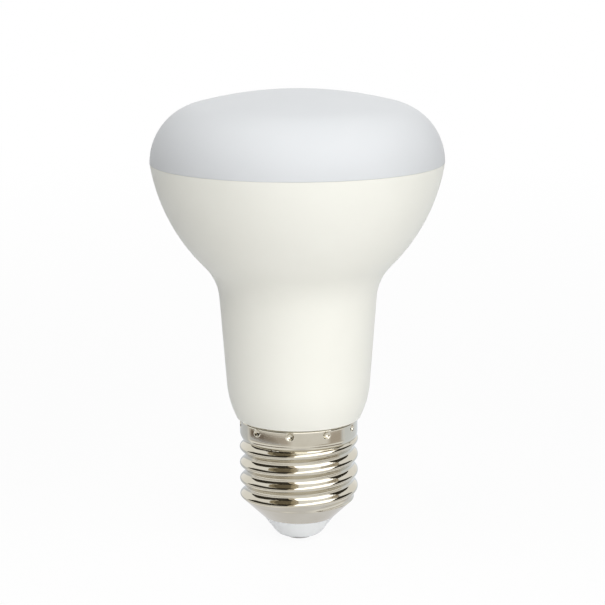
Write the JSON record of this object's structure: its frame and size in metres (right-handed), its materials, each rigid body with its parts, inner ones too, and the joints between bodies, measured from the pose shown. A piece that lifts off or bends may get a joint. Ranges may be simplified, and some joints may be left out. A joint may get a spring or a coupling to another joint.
{
  "type": "reflector bulb",
  "caption": "Reflector lamp with a shallow opal dome, a cream housing that narrows to a neck, and a nickel-plated screw cap with an insulator and a centre contact.",
  "frame": {"origin": "centre of the face of the centre contact, where the lamp meets the bottom of its holder", "axes": "+Z along the lamp's axis, from the cap to the crown of the diffuser; -Y is the side that the picture shows"},
  "size_m": [0.063, 0.063, 0.0988],
  "materials": {
    "opal_diffuser": "opal, fine satin",
    "housing_plastic": "ivory, satin",
    "nickel_shell": "rolled sheet, bright nickel",
    "insulator_plastic": "white, glossy",
    "contact_metal": "tinned"
  },
  "bodies": {
    "root": {"diffuser": "opal_diffuser", "housing": "housing_plastic", "screw_shell": "nickel_shell", "insulator": "insulator_plastic", "centre_contact": "contact_metal"}
  },
  "joints": []
}
